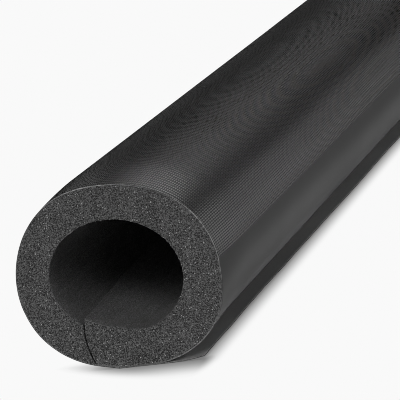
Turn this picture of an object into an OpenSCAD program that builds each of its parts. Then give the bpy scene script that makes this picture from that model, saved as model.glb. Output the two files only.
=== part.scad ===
// Slit elastomeric pipe insulation tube with a bonded covering and an overlap flap.
// It lies on its flap along Y, +Z up. The origin is on the floor, under the middle of the tube.

/* [Length] */
// Length of the tube along Y
tube_len = 1000; // [200:50:2000]

/* [Pipe bore] */
// Bore diameter when the tube is round, as on its pipe
bore_d = 43.5; // [40:0.5:46]
// How far the relaxed bore is out of round: added to the sideways radius, taken off the upright one
bore_squash = 1.8; // [0:0.1:2.5]
// Offset of the bore's centre in the wall, along the oval's long axis
bore_off_x = -0.4; // [-1:0.1:1]
// Offset of the bore's centre in the wall, along the oval's short axis
bore_off_z = -0.4; // [-1:0.1:1]

/* [Foam wall] */
// Wall thickness
wall = 13.25; // [12:0.25:15]
// How far the relaxed outside is out of round, as for the bore
outer_squash = 2.05; // [1:0.05:2.5]
// How far the outside is drawn in along the slit
seam_lift = 0.65; // [0:0.05:1]

/* [How it lies] */
// How far the oval section leans to the right on the floor, in degrees
lean = 5.7; // [3:0.1:8]
// How far its weight presses the soft underside flat, against the oval
sag = 1.04; // [0.8:0.02:1.4]

/* [Slit] */
// Angle at which the bore's wall ends on the slit's left lip, round from the oval's long axis
slit_l = 233.9; // [232:0.1:236]
// Angle of the right lip's corner, which stands proud in the bore
slit_r = 231; // [229:0.1:232]
// Angle of the slit at the outside
slit_out = 253; // [250:0.5:255]
// Radius of the slit's curve
slit_bend = 26.5; // [24:0.5:40]
// Gap between the two cut faces, at the outside
slit_gap = 0.3; // [0.2:0.05:0.6]
// How far the right lip stands into the bore
lip_h = 2.5; // [1:0.1:3]
// Angle at which that lip has died away into the bore
lip_end = 310; // [290:1:330]

/* [Covering] */
// Thickness of the covering
skin = 0.3; // [0.2:0.05:0.5]

/* [Flap] */
// Where the flap's lower face comes down on the floor, beside the tube's middle
rest_l = -4.5; // [-5:0.1:-4]
// Where it leaves the floor again
rest_r = 14; // [12:0.5:18]
// How far the flap's free edge lies to the side of the tube's middle
flap_x = 25.6; // [22:0.2:34]
// Height of the free edge above the floor
flap_z = 1.15; // [0.4:0.05:4]
// Gap between the flap and the covering that it passes under
flap_gap = 0.06; // [0.02:0.01:0.2]

/* [Hidden] */

n_out = 144;          // corners round the outside
n_in = 108;           // corners round the bore
n_slit = 12;          // steps along the slit
n_curl = 6;           // steps along the flap's curl

r_in = bore_d / 2;
r_out = r_in + wall;
oval_a = r_out + outer_squash;    // half-axes of the foam's oval
oval_b = r_out - outer_squash;

// The floor, from the tube's middle: the leaning oval's lowest point, less what the weight presses flat.
mid_h = norm([(oval_a + skin) * sin(lean), (oval_b + skin) * cos(lean)]) - sag;

// A bump of height 1 at angle c that falls smoothly to 0 at w degrees to each side.
function bump(t, c, w) = abs(t - c) >= w ? 0 : 0.5 * (1 + cos(180 * (t - c) / w));

// The larger of two numbers, rounded off where they are within k of each other.
function soft_max(a, b, k) = max(a, b) + pow(max(k - abs(a - b), 0), 2) / (4 * k);

// Radius of an ellipse with half-axes a and b, at the polar angle t.
function ell(a, b, t) = a * b / norm([b * cos(t), a * sin(t)]);

function wrap(t) = t >= 360 ? t - 360 : t;

// From the oval's own axes to the floor's.
function turn(p) = [p[0] * cos(lean) + p[1] * sin(lean), p[1] * cos(lean) - p[0] * sin(lean)];

// The tube's outside, about its middle, flat where it rests. The flap's upper face follows it past the slit.
function base_r(t) = ell(oval_a, oval_b, t) - seam_lift * bump(wrap(t), 258, 30);
function base_pt(t) = let (p = turn(base_r(t) * [cos(t), sin(t)])) [p[0], soft_max(p[1], skin - mid_h, 0.5)];
function base_n(t) = let (d = base_pt(t + 0.05) - base_pt(t - 0.05)) [d[1], -d[0]] / norm(d);

// Room for the flap under the right lip: the foam there sits this much higher,
// and comes back to the full radius past the place where the tube lifts off the flap.
seat_end = 296;
function seat(t) = t < slit_out || t > 335 ? 0
    : t < seat_end ? skin + flap_gap : (skin + flap_gap) * 0.5 * (1 + cos(180 * (t - seat_end) / (335 - seat_end)));

// The foam's outside, and its outward unit normal.
function out_pt(t) = base_pt(t) - seat(wrap(t)) * base_n(t);
function out_n(t) = let (d = out_pt(t + 0.05) - out_pt(t - 0.05)) [d[1], -d[0]] / norm(d);

// How far the right lip stands into the bore at the angle t.
function lip(t) = t < slit_r || t > lip_end ? 0
    : t < 262 ? lip_h : lip_h * 0.5 * (1 + cos(180 * (t - 262) / (lip_end - 262)));

// The bore's wall, and the same wall with its right lip.
function in_r(t) = ell(r_in + bore_squash, r_in - bore_squash, t);
function in_pt(t, r) = turn([bore_off_x, bore_off_z] + r * [cos(t), sin(t)]);

// Half the slit's gap as an angle, at the outside.
go = slit_gap / 2 / norm(base_pt(slit_out)) * 180 / PI;

// The slit's four corners: the left and right lip at the bore, and below them at the outside.
lip_l = in_pt(slit_l, in_r(slit_l));
lip_r = in_pt(slit_r, in_r(slit_r) - lip_h);
end_l = out_pt(slit_out - go);
end_r = out_pt(slit_out + go);

// A quadratic curve through a and b, pulled to c.
function curve(a, c, b, u) = (1 - u) * (1 - u) * a + 2 * u * (1 - u) * c + u * u * b;

// The pull point of the slit from a at the bore to b outside: beside the middle of its chord, on the -X side.
function pull(a, b) = let (d = (b - a) / norm(b - a)) (a + b) / 2 + norm(b - a) * norm(b - a) / 4 / slit_bend * [d[1], -d[0]];

// Angles of the corners round the outside, from the right lip to the left one.
t_out = concat([slit_out + go],
    [for (i = [0:n_out]) let (t = 360 * i / n_out + 255) if (t > slit_out + go + 1 && t < slit_out + 360 - go - 1) t],
    [slit_out + 360 - go]);

// Angles round the bore, from the left lip back to the right one.
t_in = [for (i = [n_in - 1:-1:1]) slit_r + (slit_l + 360 - slit_r) * i / n_in];

foam_pts = concat(
    [for (t = t_out) out_pt(t)],
    [for (i = [1:n_slit - 1]) curve(end_l, pull(lip_l, end_l), lip_l, i / n_slit)],
    [lip_l],
    [for (t = t_in) in_pt(t, in_r(t) - lip(t))],
    [lip_r],
    [for (i = [1:n_slit - 1]) curve(lip_r, pull(lip_r, end_r), end_r, i / n_slit)]);

// The flap carries on from the left lip, passes under the right lip and comes down on the floor.
// It lies flat there, past the tube, and curls up a little towards its free edge.
t_flap = [for (t = [slit_out + 1:2.5:275]) if (base_pt(t)[0] < rest_l - 1) t];
fl_a = [rest_r, -mid_h];
fl_b = [flap_x, flap_z - mid_h];
function curl_lo(u) = curve(fl_a, [(rest_r + flap_x) / 2, -mid_h], fl_b, u);
function curl_hi(u) = let (s = 2 * flap_z * u / (flap_x - rest_r)) curl_lo(u) + skin * [-s, 1] / norm([s, 1]);

clad_pts = concat(
    [for (t = t_out) out_pt(t) + skin * out_n(t)],
    [for (t = t_flap) base_pt(t) + skin * base_n(t)],
    [[rest_l, -mid_h]],
    [for (i = [0:n_curl]) curl_lo(i / n_curl)],
    [for (i = [n_curl:-1:0]) curl_hi(i / n_curl)],
    [[rest_l, skin - mid_h]],
    [for (i = [len(t_flap) - 1:-1:0]) base_pt(t_flap[i])],
    [for (i = [len(t_out) - 1:-1:0]) out_pt(t_out[i])]);

// Stands a section drawn in X and Z up along Y, with the floor at Z = 0.
module stock(pts)
    translate([0, 0, mid_h]) rotate([90, 0, 0]) linear_extrude(tube_len, center = true) polygon(pts);

module foam_tube() color([0.25, 0.25, 0.26]) stock(foam_pts);

module cladding() color([0.16, 0.16, 0.17]) stock(clad_pts);

foam_tube();
cladding();
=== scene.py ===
"""Slit elastomeric pipe insulation tube lying on its flap: the foam, its covering, floor, light and camera.

The section is drawn in millimetres about the tube's middle, X to the right and Z up, as in the CAD model.
The looks add the necked cut ends, the open cells of the cut foam, the lip that wanders inside the bore,
the emboss and the smooth strip of the covering, and its pale cut edge.
"""

import math

import bpy
import numpy as np
from mathutils import Matrix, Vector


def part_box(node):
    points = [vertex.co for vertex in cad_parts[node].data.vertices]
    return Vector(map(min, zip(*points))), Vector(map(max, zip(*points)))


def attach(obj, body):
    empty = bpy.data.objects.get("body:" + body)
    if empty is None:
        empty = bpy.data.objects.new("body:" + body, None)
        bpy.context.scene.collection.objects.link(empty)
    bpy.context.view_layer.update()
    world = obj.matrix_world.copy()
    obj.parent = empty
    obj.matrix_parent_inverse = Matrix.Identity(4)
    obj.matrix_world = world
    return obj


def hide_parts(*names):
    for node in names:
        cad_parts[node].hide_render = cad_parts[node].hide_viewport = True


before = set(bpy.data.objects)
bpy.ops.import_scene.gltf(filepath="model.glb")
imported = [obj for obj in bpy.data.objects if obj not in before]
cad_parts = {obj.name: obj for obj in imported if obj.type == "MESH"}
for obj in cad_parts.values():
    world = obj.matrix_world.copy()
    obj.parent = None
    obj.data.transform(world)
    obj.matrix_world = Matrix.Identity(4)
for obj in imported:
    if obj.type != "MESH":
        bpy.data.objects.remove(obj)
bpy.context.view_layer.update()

MM = 0.001
scene = bpy.context.scene

# ---------------------------------------------------------------- camera

camera = bpy.data.objects.new("camera", bpy.data.cameras.new("camera"))
scene.collection.objects.link(camera)
camera.data.lens = 297.0
camera.data.sensor_width = 36.0
camera.data.clip_start = 0.05
camera.data.clip_end = 50.0
right = np.array([0.96050208, 0.22435045, -0.16462877])
up = np.array([0.11850611, 0.20550062, 0.97145551])
ahead = np.array([-0.25177779, 0.95259455, -0.17079688])
place = np.eye(4)
place[:3, 0], place[:3, 1], place[:3, 2] = right, up, -ahead
place[:3, 3] = 0.312826, -1.557240, 0.2443076
camera.matrix_world = Matrix(place.tolist())
scene.camera = camera

# ---------------------------------------------------------------- the section, as in the CAD model

R_IN, WALL = 21.75, 13.25
BORE_SQUASH, OUTER_SQUASH = 1.8, 2.05
BORE_OFF = -0.4
SEAM_LIFT, LEAN, SAG = 0.65, math.radians(5.7), 1.04
SLIT_L, SLIT_R, SLIT_OUT, SLIT_BEND = 233.9, 231.0, 253.0, 26.5
SLIT_GAP, LIP_H, LIP_END = 0.3, 2.5, 310.0
SKIN, FLAP_GAP = 0.3, 0.06
REST_L, REST_R, FLAP_X, FLAP_Z = -4.5, 14.0, 25.9, 1.15
HALF = 500.0

OVAL_A, OVAL_B = R_IN + WALL + OUTER_SQUASH, R_IN + WALL - OUTER_SQUASH
MID_H = math.hypot((OVAL_A + SKIN) * math.sin(LEAN), (OVAL_B + SKIN) * math.cos(LEAN)) - SAG
low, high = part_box("cladding")
assert abs(high.y - HALF * MM) < 2e-4 and abs(low.z) < 2e-4 and abs(high.x - 0.0373) < 5e-4


def cosd(t):
    return np.cos(np.radians(t))


def sind(t):
    return np.sin(np.radians(t))


def bump(t, c, w):
    """A bump of height 1 at c that falls smoothly to 0 at w to each side."""
    return np.where(np.abs(t - c) >= w, 0.0, 0.5 * (1 + cosd(180 * (t - c) / w)))


def soft_max(a, b, k):
    return np.maximum(a, b) + np.maximum(k - np.abs(a - b), 0) ** 2 / (4 * k)


def ell(a, b, t):
    return a * b / np.hypot(b * cosd(t), a * sind(t))


def turn(x, z):
    """From the oval's own axes to the floor's."""
    return np.stack([x * math.cos(LEAN) + z * math.sin(LEAN), z * math.cos(LEAN) - x * math.sin(LEAN)], -1)


def smooth(x):
    x = np.clip(x, 0, 1)
    return x * x * (3 - 2 * x)


# How far the cut ends are drawn in (-) or swell (+) against the body's oval, in mm at angles round the tube.
END_T = np.array([0, 22, 41, 55, 70, 85, 97, 112, 127, 140, 153, 167, 180, 192, 204, 216, 235, 250, 262, 280, 295, 310, 322, 335, 348, 360.0])
END_D = np.array([-0.9, -0.55, -0.2, -0.65, -1.15, -1.45, -1.5, -1.1, -0.6, -1.0, -1.4, -1.8, -1.7, -1.2, -0.75, -0.1, -0.05, 0.1, -0.3, -0.3, 0.2, 0.9, 1.15, 0.95, 0.3, -0.9])


def drawn(t):
    """The offset above, rounded off between its points."""
    total = 0.0
    for shift in (-6.0, -3.0, 0.0, 3.0, 6.0):
        total = total + np.interp((t + shift) % 360, END_T, END_D)
    return total / 5


def end_fade(y):
    """1 on a cut end, falling to 0 where the end's shape has blended into the body."""
    return np.clip(1 - (HALF - np.abs(y)) / 34.0, 0, 1) ** 1.5


# ---------------------------------------------------------------- repeatable noise


def hash01(ix, iy, k):
    n = (ix * 374761393 + iy * 668265263 + k * 97531) & 0xFFFFFFFF
    n = ((n ^ (n >> 13)) * 1274126177) & 0xFFFFFFFF
    n = ((n ^ (n >> 15)) * 1103515245) & 0xFFFFFFFF
    return ((n ^ (n >> 16)) & 0xFFFFFF) / 0xFFFFFF


def wave(x, y, k):
    """Smooth noise from -1 to 1 with bumps about one unit across."""
    x, y = np.broadcast_arrays(np.asarray(x, float), np.asarray(y, float))
    ix, iy = np.floor(x).astype(np.int64), np.floor(y).astype(np.int64)
    fx, fy = smooth(x - ix), smooth(y - iy)
    a, b = hash01(ix, iy, k), hash01(ix + 1, iy, k)
    c, d = hash01(ix, iy + 1, k), hash01(ix + 1, iy + 1, k)
    return 2 * ((a * (1 - fx) + b * fx) * (1 - fy) + (c * (1 - fx) + d * fx) * fy) - 1


def cells(x, y, k):
    """Distances to the nearest and the second nearest cell middle, one a unit square, and the nearest one's number."""
    ix, iy = np.floor(x).astype(np.int64), np.floor(y).astype(np.int64)
    f1, f2, own = np.full(x.shape, 9.0), np.full(x.shape, 9.0), np.zeros(x.shape)
    for dx in (-1, 0, 1):
        for dy in (-1, 0, 1):
            cx, cy = ix + dx, iy + dy
            d = np.hypot(cx + 0.1 + 0.8 * hash01(cx, cy, k) - x, cy + 0.1 + 0.8 * hash01(cx, cy, k + 1) - y)
            nearer = d < f1
            f2 = np.where(nearer, f1, np.minimum(f2, d))
            own = np.where(nearer, hash01(cx, cy, k + 2), own)
            f1 = np.where(nearer, d, f1)
    return f1, f2, own


# ---------------------------------------------------------------- the section at any place along the tube


def extra(t, y):
    """Radial offset of the outside from the CAD oval: the shaped ends, and very slight unevenness of soft stock."""
    f = end_fade(y)
    body = 0.5 * bump(t % 360, 133, 60) + 0.12 * wave(cosd(t) * 2.3 + 7, sind(t) * 2.3 + y / 90.0, 5) * (1 - f) * smooth((t % 360) / 25) * smooth((245 - t % 360) / 25)
    return body + f * (drawn(t) - body)


def base_pt(t, y):
    r = ell(OVAL_A, OVAL_B, t) - SEAM_LIFT * bump(t % 360, 258, 30) + extra(t, y)
    p = turn(r * cosd(t), r * sind(t))
    p[..., 1] = soft_max(p[..., 1], SKIN - MID_H, 0.5)
    return p


def normal_of(f, t, y):
    d = f(t + 0.05, y) - f(t - 0.05, y)
    n = np.stack([d[..., 1], -d[..., 0]], -1)
    return n / np.linalg.norm(n, axis=-1, keepdims=True)


def seat(t):
    s = SKIN + FLAP_GAP
    return np.where(t < 296, s, np.where(t > 335, 0.0, s * 0.5 * (1 + cosd(180 * (t - 296) / 39))))


def out_pt(t, y):
    """The foam's outside. t runs from the right lip at 253 round to the left one at 613."""
    return base_pt(t, y) - seat(t)[..., None] * normal_of(base_pt, t, y)


def wander(y):
    """How far the slit's inner edge strays round the bore with the depth from either end, in degrees."""
    s = HALF - np.abs(y)
    return -1.0 - 8.6 * smooth((s + 4) / 92.0) + 1.6 * wave(y / 120.0, 0.3, 21) * smooth((s - 60) / 120.0)


def in_pt(t, y):
    """The bore's wall. t runs from the right lip at 231 round to the left one at 593.9, before the slit's own drift."""
    a = t + wander(y)
    lip = LIP_H * np.where(t < 262, 1.0, np.where(t > LIP_END, 0.0, 0.5 * (1 + cosd(180 * (t - 262) / (LIP_END - 262)))))
    r = ell(R_IN + BORE_SQUASH, R_IN - BORE_SQUASH, a) - lip
    return turn(BORE_OFF + r * cosd(a), BORE_OFF + r * sind(a))


GO = math.degrees(SLIT_GAP / 2 / 32.4)


def foam_pt(u, v, y):
    """The wall's section: u from the right slit face round to the left one, v from the bore to the outside."""
    a = in_pt(SLIT_R + u * (SLIT_L + 360 - SLIT_R), y)
    b = out_pt(SLIT_OUT + GO + u * (360 - 2 * GO), y)
    d = b - a
    bow = np.stack([d[..., 1], -d[..., 0]], -1) * np.linalg.norm(d, axis=-1, keepdims=True) / 4 / SLIT_BEND
    near = smooth(1 - np.minimum(u, 1 - u) / 0.16)
    return a + v[..., None] * d + (2 * v * (1 - v) * near)[..., None] * bow


# ---------------------------------------------------------------- meshes


def make_mesh(name, points, faces, groups, flat):
    """A mesh in metres from points in mm about the tube's middle. groups are material numbers, one a face."""
    mesh = bpy.data.meshes.new(name)
    p = np.asarray(points, float).copy()
    p[:, 2] += MID_H
    p *= MM
    faces = np.asarray(faces, np.int32)
    mesh.vertices.add(len(p))
    mesh.vertices.foreach_set("co", p.astype(np.float32).ravel())
    mesh.loops.add(faces.size)
    mesh.loops.foreach_set("vertex_index", faces.ravel())
    mesh.polygons.add(len(faces))
    mesh.polygons.foreach_set("loop_start", np.arange(0, faces.size, 4, dtype=np.int32))
    mesh.polygons.foreach_set("material_index", np.asarray(groups, np.int32))
    mesh.update(calc_edges=True)
    sharp = mesh.attributes.new("sharp_face", "BOOLEAN", "FACE")
    sharp.data.foreach_set("value", np.asarray(flat, bool))
    mesh.validate()
    obj = bpy.data.objects.new(name, mesh)
    scene.collection.objects.link(obj)
    return obj


def quads(grid):
    """Faces of a grid of vertex numbers, turning from its first direction to its second."""
    return np.stack([grid[:-1, :-1], grid[1:, :-1], grid[1:, 1:], grid[:-1, 1:]], -1).reshape(-1, 4)


def stations(near):
    """Places along the tube, close together near its two cut ends."""
    side = [HALF - s for s in near]
    return np.array(sorted([-s for s in side] + side))


def foam_mesh():
    nu, nv = 588, 46
    ys = stations([0, 0.6, 1.4, 3, 6, 10, 15, 21, 28, 36, 48, 64, 84, 110, 150, 210, 290, 390])
    u, v = np.linspace(0, 1, nu + 1), np.linspace(0, 1, nv + 1)
    points, count = [], 0

    def put(p):
        nonlocal count
        flat = p.reshape(-1, 3)
        points.append(flat)
        ids = np.arange(count, count + len(flat)).reshape(p.shape[:-1])
        count += len(flat)
        return ids

    def ragged(uu, y, k):
        """The bore's cut rim is torn a little, in mm."""
        depth = np.clip(1 - (HALF - abs(y)) / 2.2, 0, 1)
        arc = uu * 140
        return depth * (0.16 * wave(arc / 1.1, 0.5, k) + 0.12 * wave(arc / 0.45, 0.5, k + 1) + 0.10)

    def face(y, k):
        """One cut end, with its opened cells."""
        uu, vv = np.meshgrid(u, v, indexing="ij")
        p = foam_pt(uu, vv, y)
        c = turn(BORE_OFF, BORE_OFF)
        away = (p - c) / np.linalg.norm(p - c, axis=-1, keepdims=True)
        p = p + away * (ragged(uu, y, k) * (1 - vv) ** 5)[..., None]
        x, z = p[..., 0], p[..., 1]
        f1, f2, own = cells(x / 0.95, z / 0.95, k)
        g1, g2, other = cells(x / 0.55 + 31, z / 0.55, k + 7)
        cup = 0.20 * smooth((f2 - f1) / 0.55) * (0.25 + 0.75 * own) + 0.12 * smooth((g2 - g1) / 0.5) * other
        cup = cup + 0.05 * wave(x / 9, z / 9, k + 3)
        edge = smooth(np.minimum(vv, 1 - vv) * 13 / 0.5)
        cup = 0.04 + np.clip(cup, 0, 0.42) * (0.35 + 0.65 * edge)
        # the left lip's cut stands a little proud of the right one's
        proud = 0.25 * smooth(1 - (1 - uu) / 0.02)
        side = -1 if y < 0 else 1
        return np.stack([x, np.full_like(x, y) - side * (cup - proud * edge), z], -1)

    f = put(face(-HALF, 11))
    b = put(face(HALF, 47))

    def wall(at, uu, vv, rag):
        """A side of the block between the two ends, sharing their edges."""
        first, last = at(f), at(b)
        inner = []
        for y in ys[1:-1]:
            p = foam_pt(uu, vv, y)
            if rag:
                c = turn(BORE_OFF, BORE_OFF)
                away = (p - c) / np.linalg.norm(p - c, axis=-1, keepdims=True)
                p = p + away * ragged(uu, y, 11 if y < 0 else 47)[..., None]
            inner.append(np.stack([p[..., 0], np.full(len(uu), y), p[..., 1]], -1))
        ids = put(np.stack(inner, 1))
        return np.concatenate([first[:, None], ids, last[:, None]], 1)

    inner = wall(lambda g: g[:, 0], u, np.zeros(nu + 1), True)
    outer = wall(lambda g: g[:, -1], u, np.ones(nu + 1), False)
    # the slit's faces share their long edges with the bore and the outside
    def slit(col):
        mid = []
        for y in ys[1:-1]:
            p = foam_pt(np.full(nv - 1, col), v[1:-1], y)
            roughness = 0.05 * wave(v[1:-1] * 14, y / 2.0, 3)[..., None]
            mid.append(np.stack([p[..., 0] + roughness[..., 0], np.full(nv - 1, y), p[..., 1]], -1))
        ids = put(np.stack(mid, 1))
        k = 0 if col == 0 else -1
        body = np.concatenate([inner[k, 1:-1][None], ids, outer[k, 1:-1][None]], 0)
        return np.concatenate([f[k][:, None], body, b[k][:, None]], 1)

    s_r, s_l = slit(0.0), slit(1.0)
    parts = [
        (quads(f)[:, ::-1], 0, True),
        (quads(b), 0, True),
        (quads(inner), 1, False),
        (quads(outer)[:, ::-1], 2, False),
        (quads(s_r)[:, ::-1], 0, False),
        (quads(s_l), 0, False),
    ]
    faces = np.concatenate([p[0] for p in parts])
    groups = np.concatenate([np.full(len(p[0]), p[1]) for p in parts])
    flat = np.concatenate([np.full(len(p[0]), p[2]) for p in parts])
    obj = make_mesh("foam", np.concatenate(points), faces, groups, flat)
    # painted shade: the bore wall's colour is darkened beside the raised lip, towards the left, where the lip's shade
    # falls
    tone = np.ones(count)
    deep = smooth((HALF - np.abs(ys)) / 30.0)[None, :]
    fade = 1 - smooth((HALF - 50.0 - np.abs(ys)) / 60.0)[None, :]
    off = (1 - u)[:, None] * (SLIT_L + 360 - SLIT_R)
    tone[inner] = 1 - (0.08 + 0.14 * deep) * fade * smooth(1 - off / 45.0)
    attribute = obj.data.attributes.new("tone", "FLOAT", "POINT")
    attribute.data.foreach_set("value", tone.astype(np.float32))
    return obj


GLUE = 0.02  # the covering's inner face lies this much outside the foam's


def cover_curves(y):
    """The covering's inner and outer curve at y: round the foam from the right lip to the left one, then the flap."""
    t = np.linspace(SLIT_OUT + GO, SLIT_OUT + 360 - GO, 421)
    p, n = out_pt(t, y), normal_of(out_pt, t, y)
    inner, outer = [p + GLUE * n], [p + (SKIN + GLUE) * n]
    tf = SLIT_OUT + 360 + np.arange(1, 12, 1.0)
    q, m = base_pt(tf, y), normal_of(base_pt, tf, y)
    keep = slice(0, 8)
    inner.append(q[keep] + GLUE * 0.5 * m[keep])
    outer.append(q[keep] + SKIN * m[keep])
    x = np.linspace(REST_L, REST_R, 24)
    z = np.full_like(x, -MID_H)
    inner.append(np.stack([x, z + SKIN], -1))
    outer.append(np.stack([x, z], -1))
    w = np.linspace(0, 1, 19)[1:]
    cx = REST_R + (FLAP_X - REST_R) * w
    far = smooth((HALF - abs(y)) / 20.0)
    rise = FLAP_Z * w * w + far * (0.35 * wave(y / 47.0, 3.0, 8) + 0.2 * wave(y / 19.0, 5.0, 9)) * w * w
    slope = 2 * FLAP_Z * w / (FLAP_X - REST_R)
    up_n = np.stack([-slope, np.ones_like(slope)], -1) / np.hypot(slope, 1)[:, None]
    lo = np.stack([cx, -MID_H + rise], -1)
    outer.append(lo)
    inner.append(lo + SKIN * up_n)
    return np.concatenate(inner), np.concatenate(outer), t


def cover_mesh():
    ys = stations([0, 0.5, 1.5, 3, 5, 8, 11, 15, 19, 24, 29, 34, 40, 48, 58, 70, 84, 100, 118, 138, 160, 184, 210, 238, 268, 300, 334, 370, 408, 448])
    ns = len(ys)
    inner, outer = [], []
    for y in ys:
        i, o, t = cover_curves(y)
        side = -1 if y < 0 else 1
        yy = np.full(len(i), y)
        if abs(y) == HALF:
            arc = np.arange(len(i)) * 0.6
            yy = yy + side * (0.05 * wave(arc / 3.0, 0.2, 61) + 0.04 * wave(arc / 0.9, 0.2, 62))
        inner.append(np.stack([i[:, 0], yy, i[:, 1]], -1))
        outer.append(np.stack([o[:, 0], yy, o[:, 1]], -1))
    inner, outer = np.stack(inner, 1), np.stack(outer, 1)
    nc = inner.shape[0]
    a = np.arange(nc * ns).reshape(nc, ns)
    o = a + nc * ns
    points = np.concatenate([inner.reshape(-1, 3), outer.reshape(-1, 3)])
    parts = [
        (quads(a), 1, False),
        (quads(o)[:, ::-1], 0, False),
        (quads(np.stack([a[:, 0], o[:, 0]], 0)), 2, True),
        (quads(np.stack([a[:, -1], o[:, -1]], 0))[:, ::-1], 2, True),
        (quads(np.stack([a[0, :], o[0, :]], 0))[:, ::-1], 2, True),
        (quads(np.stack([a[-1, :], o[-1, :]], 0)), 2, True),
    ]
    faces = np.concatenate([p[0] for p in parts])
    groups = np.concatenate([np.full(len(p[0]), p[1]) for p in parts])
    flat = np.concatenate([np.full(len(p[0]), p[2]) for p in parts])
    obj = make_mesh("covering", points, faces, groups, flat)
    # arc length round the section and place along the tube, in metres, for the emboss
    middle = outer[:, ns // 2][:, [0, 2]]
    arc = np.concatenate([[0], np.cumsum(np.linalg.norm(np.diff(middle, axis=0), axis=1))])
    uv = np.stack([np.repeat(arc, ns), np.tile(ys, nc)], -1) * MM
    uv = np.concatenate([uv, uv])
    layer = obj.data.uv_layers.new(name="UVMap")
    loops = np.zeros(len(obj.data.loops), np.int32)
    obj.data.loops.foreach_get("vertex_index", loops)
    layer.data.foreach_set("uv", uv[loops].astype(np.float32).ravel())
    # how pale the cut edge is: paler at the top left, the right and the lower right, and the rest keeps the covering's
    # own dark colour
    pale = np.full(nc, 0.1)
    pale[:421] = 0.15 + 0.85 * bump(t, 360 + 103, 42) + 0.75 * bump(t, 360 + 27, 36) + 0.6 * bump(t, 318, 34)
    pale = np.clip(pale + 0.18 * wave(arc / 4.0, 0.5, 71) + 0.12 * wave(arc / 1.1, 0.5, 72), 0, 1)
    attribute = obj.data.attributes.new("pale", "FLOAT", "POINT")
    attribute.data.foreach_set("value", np.tile(np.repeat(pale, ns), 2).astype(np.float32))
    return obj, arc


foam = foam_mesh()
covering, arc_mm = cover_mesh()
T_COLUMNS = np.linspace(SLIT_OUT + GO, SLIT_OUT + 360 - GO, 421)


def arc_at(t):
    """Arc length in metres at the angle t of the covering, from its right slit edge."""
    return float(np.interp(t, T_COLUMNS, arc_mm[:421])) * MM


# ---------------------------------------------------------------- materials


def new_material(name):
    m = bpy.data.materials.new(name)
    m.use_nodes = True
    m.node_tree.nodes.clear()
    out = m.node_tree.nodes.new("ShaderNodeOutputMaterial")
    shader = m.node_tree.nodes.new("ShaderNodeBsdfPrincipled")
    m.node_tree.links.new(shader.outputs[0], out.inputs[0])
    return m, m.node_tree, shader


def put(tree, kind, inputs=None, **settings):
    """Adds a node, sets or links its inputs, and returns it."""
    n = tree.nodes.new(kind)
    for k, value in settings.items():
        setattr(n, k, value)
    for k, value in (inputs or {}).items():
        socket = n.inputs[k]
        if isinstance(value, bpy.types.NodeSocket):
            tree.links.new(value, socket)
        else:
            socket.default_value = value
    return n


def maths(tree, operation, a, b=None, clamp=False):
    inputs = {0: a}
    if b is not None:
        inputs[1] = b
    return put(tree, "ShaderNodeMath", inputs, operation=operation, use_clamp=clamp).outputs[0]


def ramp(tree, value, stops, kind="LINEAR"):
    n = put(tree, "ShaderNodeValToRGB", {0: value})
    n.color_ramp.interpolation = kind
    while len(n.color_ramp.elements) < len(stops):
        n.color_ramp.elements.new(0.5)
    for e, (at, level) in zip(n.color_ramp.elements, stops):
        e.position = at
        e.color = (level, level, level, 1)
    return n.outputs[0]


def grey(g):
    return (g, g, g, 1)


def foam_material(name, dark, mid, light, glint_grey, share, roughness, bump_mm, streaks=False):
    m, tree, shader = new_material(name)
    coord = put(tree, "ShaderNodeTexCoord").outputs["Object"]
    grain = put(tree, "ShaderNodeTexNoise", {"Vector": coord, "Scale": 2500.0, "Detail": 2.0, "Roughness": 0.6})
    pores = put(tree, "ShaderNodeTexVoronoi", {"Vector": coord, "Scale": 2000.0, "Randomness": 1.0})
    patches = put(tree, "ShaderNodeTexNoise", {"Vector": coord, "Scale": 160.0, "Detail": 2.0})
    mixed = maths(tree, "ADD", maths(tree, "MULTIPLY", grain.outputs[0], 0.75), maths(tree, "MULTIPLY", pores.outputs["Distance"], 0.30))
    mixed = maths(tree, "ADD", mixed, maths(tree, "MULTIPLY", maths(tree, "SUBTRACT", patches.outputs[0], 0.5), 0.08))
    base = ramp(tree, mixed, [(0.41, dark), (0.51, mid), (0.63, light)])
    # painted glints: a few cell walls get a light grey colour where they would catch the light
    spark = put(tree, "ShaderNodeTexVoronoi", {"Vector": coord, "Scale": 1250.0, "Randomness": 1.0})
    dot = maths(tree, "LESS_THAN", spark.outputs["Distance"], 0.24)
    chosen = maths(tree, "LESS_THAN", put(tree, "ShaderNodeSeparateColor", {0: spark.outputs["Color"]}).outputs[0], share)
    glint_dots = maths(tree, "MULTIPLY", dot, chosen)
    colour = put(tree, "ShaderNodeMix", {0: glint_dots, 6: base, 7: grey(glint_grey)}, data_type="RGBA")
    out = colour.outputs[2]
    if streaks:
        stretched = put(tree, "ShaderNodeMapping", {"Vector": coord, "Scale": (1.0, 0.06, 1.0)}).outputs[0]
        lines = put(tree, "ShaderNodeTexNoise", {"Vector": stretched, "Scale": 900.0, "Detail": 3.0})
        tone = ramp(tree, lines.outputs[0], [(0.35, 0.9), (0.65, 1.08)])
        # painted shade: the 'tone' attribute darkens the bore's colour beside the raised lip
        tone = maths(tree, "MULTIPLY", tone, put(tree, "ShaderNodeAttribute", attribute_name="tone").outputs["Fac"])
        out = put(tree, "ShaderNodeMix", {0: 1.0, 6: out, 7: tone}, data_type="RGBA", blend_type="MULTIPLY").outputs[2]
    tree.links.new(out, shader.inputs["Base Color"])
    shader.inputs["Roughness"].default_value = roughness
    shader.inputs["Specular IOR Level"].default_value = 0.25
    height = maths(tree, "ADD", grain.outputs[0], maths(tree, "MULTIPLY", pores.outputs["Distance"], 0.8))
    relief = put(tree, "ShaderNodeBump", {"Height": height, "Strength": 1.0, "Distance": bump_mm * MM})
    tree.links.new(relief.outputs[0], shader.inputs["Normal"])
    return m


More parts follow.
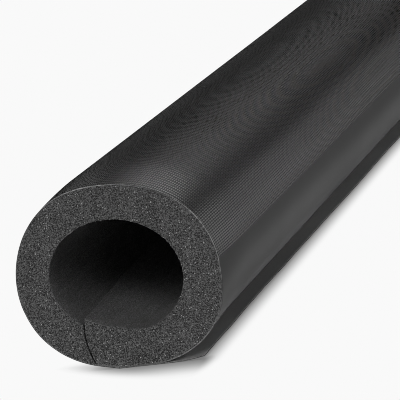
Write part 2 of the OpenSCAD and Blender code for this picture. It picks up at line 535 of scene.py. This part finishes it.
WEAVE_ROUND, WEAVE_ALONG = 0.82, 2.5   # pitch of the emboss round the tube and along it, in mm
WEAVE_DEEP_ROUND, WEAVE_DEEP_ALONG = 0.02, 0.035
WEAVE_DULL = 0.3
STRIP, STRIP_ROUGH = 0.06, 0.42        # the smooth strip's own tone and roughness
SMOOTH_END = 9.0                       # the smooth strip beside the flap ends at this angle


def cover_material(name, level, roughness, weave):
    m, tree, shader = new_material(name)
    uv = put(tree, "ShaderNodeUVMap", uv_map="UVMap").outputs[0]
    coord = put(tree, "ShaderNodeTexCoord").outputs["Object"]
    xyz = put(tree, "ShaderNodeSeparateXYZ", {0: uv})
    fine = put(tree, "ShaderNodeTexNoise", {"Vector": coord, "Scale": 900.0, "Detail": 3.0})
    broad = put(tree, "ShaderNodeTexNoise", {"Vector": coord, "Scale": 14.0, "Detail": 3.0})
    tone = maths(tree, "ADD", maths(tree, "MULTIPLY", fine.outputs[0], 0.3), maths(tree, "MULTIPLY", broad.outputs[0], 0.7))
    colour = ramp(tree, tone, [(0.3, level * 0.86), (0.7, level * 1.14)])
    shader.inputs["Specular IOR Level"].default_value = 0.5
    rough = maths(tree, "ADD", maths(tree, "MULTIPLY", broad.outputs[0], 0.08), roughness - 0.04)
    height = maths(tree, "MULTIPLY", fine.outputs[0], 0.004)
    if weave:
        a, y = xyz.outputs[0], xyz.outputs[1]
        wobble = put(tree, "ShaderNodeTexNoise", {"Vector": coord, "Scale": 60.0, "Detail": 1.0}).outputs[0]
        wobble = maths(tree, "MULTIPLY", maths(tree, "SUBTRACT", wobble, 0.5), 0.7)
        su = maths(tree, "ABSOLUTE", maths(tree, "SINE", maths(tree, "ADD", maths(tree, "MULTIPLY", a, math.pi / (WEAVE_ROUND * MM)), wobble)))
        sv = maths(tree, "ABSOLUTE", maths(tree, "SINE", maths(tree, "ADD", maths(tree, "MULTIPLY", y, math.pi / (WEAVE_ALONG * MM)), wobble)))
        start = arc_at(360 + SMOOTH_END)
        mask = put(tree, "ShaderNodeMapRange", {0: a, 1: start - 0.0004, 2: start + 0.0002, 3: 0.0, 4: 1.0}, clamp=True).outputs[0]
        # the grooves between the threads are dull, the threads' backs shine, and the grooves' colour is darkened as
        # painted shade
        knit = maths(tree, "MULTIPLY", su, maths(tree, "ADD", maths(tree, "MULTIPLY", sv, 0.65), 0.35))
        groove = put(tree, "ShaderNodeMapRange", {0: knit, 1: 0.22, 2: 0.6, 3: 1.0, 4: 0.0}, interpolation_type="SMOOTHSTEP").outputs[0]
        groove = maths(tree, "MULTIPLY", groove, mask)
        threads = maths(tree, "ADD", maths(tree, "MULTIPLY", sv, WEAVE_DEEP_ALONG), maths(tree, "MULTIPLY", su, WEAVE_DEEP_ROUND))
        height = maths(tree, "ADD", height, maths(tree, "MULTIPLY", threads, mask))
        rough = maths(tree, "ADD", rough, maths(tree, "MULTIPLY", groove, WEAVE_DULL))
        rough = maths(tree, "ADD", rough, maths(tree, "MULTIPLY", maths(tree, "SUBTRACT", 1.0, mask), STRIP_ROUGH - roughness))
        # painted shade: the grooves' colour is darkened nearly to black
        colour = put(tree, "ShaderNodeMix", {0: groove, 6: colour, 7: grey(level * 0.12)}, data_type="RGBA").outputs[2]
        colour = put(tree, "ShaderNodeMix", {0: mask, 6: grey(STRIP), 7: colour}, data_type="RGBA").outputs[2]
    tree.links.new(colour, shader.inputs["Base Color"])
    tree.links.new(rough, shader.inputs["Roughness"])
    relief = put(tree, "ShaderNodeBump", {"Height": height, "Strength": 1.0, "Distance": MM})
    tree.links.new(relief.outputs[0], shader.inputs["Normal"])
    return m


cut = foam_material("foam_cut", 0.034, 0.09, 0.2, 0.5, 0.24, 0.92, 0.22)
bore = foam_material("foam_bore", 0.12, 0.2, 0.31, 0.5, 0.2, 0.85, 0.2, streaks=True)
skin = foam_material("foam_skin", 0.05, 0.08, 0.12, 0.15, 0.1, 0.7, 0.08)
for mat in (cut, bore, skin):
    foam.data.materials.append(mat)

outside = cover_material("covering_outside", 0.06, 0.16, True)
inside = cover_material("covering_inside", 0.6, 0.4, False)
edge, tree, shader = new_material("covering_cut_edge")
coord = put(tree, "ShaderNodeTexCoord").outputs["Object"]
edge_mottle = put(tree, "ShaderNodeTexNoise", {"Vector": coord, "Scale": 700.0, "Detail": 3.0})
pale = put(tree, "ShaderNodeAttribute", attribute_name="pale").outputs["Fac"]
light = ramp(tree, edge_mottle.outputs[0], [(0.35, 0.2), (0.65, 0.5)])
tree.links.new(put(tree, "ShaderNodeMix", {0: pale, 6: grey(0.05), 7: light}, data_type="RGBA").outputs[2], shader.inputs["Base Color"])
shader.inputs["Roughness"].default_value = 0.6
for mat in (outside, inside, edge):
    covering.data.materials.append(mat)

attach(foam, "root")
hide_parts("foam_tube")
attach(covering, "root")
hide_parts("cladding")

# ---------------------------------------------------------------- floor

WHITE = 0.947
floor_mesh = bpy.data.meshes.new("floor")
S = 6.0
floor_mesh.from_pydata([(-S, -S, -5e-5), (S, -S, -5e-5), (S, S, -5e-5), (-S, S, -5e-5)], [], [(0, 1, 2, 3)])
floor = bpy.data.objects.new("floor", floor_mesh)
scene.collection.objects.link(floor)
m = bpy.data.materials.new("floor")
m.use_nodes = True
tree = m.node_tree
tree.nodes.clear()
out = tree.nodes.new("ShaderNodeOutputMaterial")
xyz = put(tree, "ShaderNodeSeparateXYZ", {0: put(tree, "ShaderNodeTexCoord").outputs["Object"]})
# soft shade along the flap's free edge, and a wider one in front of the two ends
x, y = xyz.outputs[0], maths(tree, "ABSOLUTE", xyz.outputs[1])


def past(value, start, width, sign=1):
    """How far value is past start, in widths, and 0 before it."""
    gap = maths(tree, "SUBTRACT", value, start) if sign > 0 else maths(tree, "SUBTRACT", start, value)
    return maths(tree, "DIVIDE", maths(tree, "MAXIMUM", gap, 0.0), width)


def reach(a, b):
    return maths(tree, "SQRT", maths(tree, "ADD", maths(tree, "MULTIPLY", a, a), maths(tree, "MULTIPLY", b, b)))


# at the left the shade's border runs aslant round the corner
left = maths(tree, "ADD", maths(tree, "SUBTRACT", x, maths(tree, "MULTIPLY", maths(tree, "MAXIMUM", maths(tree, "SUBTRACT", y, 0.490), 0.0), 1.1)), 0.011)
beside = reach(maths(tree, "MAXIMUM", past(x, 0.0245, 0.0085), past(left, 0.0005, 0.0125, -1)), past(y, 0.4985, 0.022))
before = reach(
    maths(tree, "MAXIMUM", past(x, 0.0255, 0.0065), maths(tree, "POWER", past(left, 0.002, 0.024, -1), 1.5)),
    maths(tree, "ADD", past(y, 0.4995, 0.0255), past(y, 0.4995, 0.020, -1)),
)
beside = ramp(tree, beside, [(0.0, 0.27), (0.06, 0.33), (0.18, 0.41), (0.29, 0.50), (0.41, 0.62), (0.53, 0.74), (0.65, 0.85), (0.77, 0.94), (0.88, 0.985), (1.0, 1.0)])
before = ramp(tree, before, [(0.0, 0.24), (0.176, 0.346), (0.333, 0.49), (0.49, 0.66), (0.647, 0.83), (0.8, 0.945), (1.0, 1.0)])
soft = put(tree, "ShaderNodeMix", {0: 1.0, 6: beside, 7: before}, data_type="RGBA", blend_type="DARKEN").outputs[2]
# painted contact shadow: the floor's glow is darkened where the tube lies close above it
shade = put(tree, "ShaderNodeAmbientOcclusion", {"Distance": 0.004}, samples=16)
contact = ramp(tree, shade.outputs["AO"], [(0.0, 0.7), (0.35, 0.9), (0.55, 1.0)])
level = put(tree, "ShaderNodeMix", {0: 1.0, 6: soft, 7: contact}, data_type="RGBA", blend_type="MULTIPLY").outputs[2]
glow = put(tree, "ShaderNodeEmission", {"Color": level, "Strength": WHITE})
tree.links.new(glow.outputs[0], out.inputs[0])
floor_mesh.materials.append(m)
floor.visible_glossy = False
floor.visible_diffuse = False
floor.visible_shadow = False

# ---------------------------------------------------------------- soft studio light

AMBIENT = 0.0
# each light's direction as azimuth (0 is behind the tube, along +Y, 90 to the right) and height, its spread and its strength
LIGHTS = [
    (18.4, 4.83, 8.5, 0.355),
    (5.09, 18.33, 8.5, 0.00433),
    (-13.68, -13.31, 8.5, 0.694),
    (-9.77, -16.38, 8.5, 1.79),
    (9.77, -16.38, 8.5, 0.996),
    (18.4, -4.83, 8.5, 0.412),
    (26.2, -6.75, 8.5, 0.0799),
    (27, 0, 8.5, 0.51),
    (26.2, 6.75, 8.5, 0.0993),
    (23.81, 13.12, 8.5, 0.781),
    (14.29, 23.15, 8.5, 0.565),
    (7.51, 26.01, 8.5, 1.21),
    (0, 27, 8.5, 0.773),
    (-7.51, 26.01, 8.5, 0.601),
    (-13.95, 33.53, 10, 0.247),
    (-27.19, 24.56, 10, 2.04),
    (75, 8, 18, 0.596),
    (45, 12, 18, 0.0645),
    (90, 25, 22, 2.13),
    (180, 32, 14, 3.8),
    (158, 32, 14, 3.53),
    (170, 50, 18, 0.865),
    (180, -12, 16, 4.97),
    (205, 0, 14, 4.7),
    (225, -5, 16, 0.504),
]

world = bpy.data.worlds.new("studio")
scene.world = world
world.use_nodes = True
tree = world.node_tree
tree.nodes.clear()
out = tree.nodes.new("ShaderNodeOutputWorld")
way = put(tree, "ShaderNodeTexCoord").outputs["Generated"]
total = AMBIENT
for az, el, spread, strength in LIGHTS:
    d = (math.sin(math.radians(az)) * math.cos(math.radians(el)), math.cos(math.radians(az)) * math.cos(math.radians(el)), math.sin(math.radians(el)))
    dot = put(tree, "ShaderNodeVectorMath", {0: way, 1: d}, operation="DOT_PRODUCT").outputs["Value"]
    lobe = put(tree, "ShaderNodeMapRange", {0: dot, 1: math.cos(math.radians(spread)), 2: 1.0, 3: 0.0, 4: strength}, interpolation_type="SMOOTHSTEP").outputs[0]
    total = maths(tree, "ADD", total, lobe)
soft = put(tree, "ShaderNodeBackground", {"Color": (1, 1, 1, 1), "Strength": total})
plain = put(tree, "ShaderNodeBackground", {"Color": (1, 1, 1, 1), "Strength": WHITE})
path = put(tree, "ShaderNodeLightPath")
both = put(tree, "ShaderNodeMixShader", {0: path.outputs["Is Camera Ray"], 1: soft.outputs[0], 2: plain.outputs[0]})
tree.links.new(both.outputs[0], out.inputs[0])

scene.view_settings.view_transform = "Standard"
scene.view_settings.look = "None"
# the emboss is as fine as the pixels: a filtered guide or a wide pixel filter would wipe it off the covering
scene.cycles.use_denoising = True
scene.cycles.denoising_input_passes = "RGB_ALBEDO_NORMAL"
scene.cycles.denoising_prefilter = "NONE"
scene.cycles.filter_width = 0.9
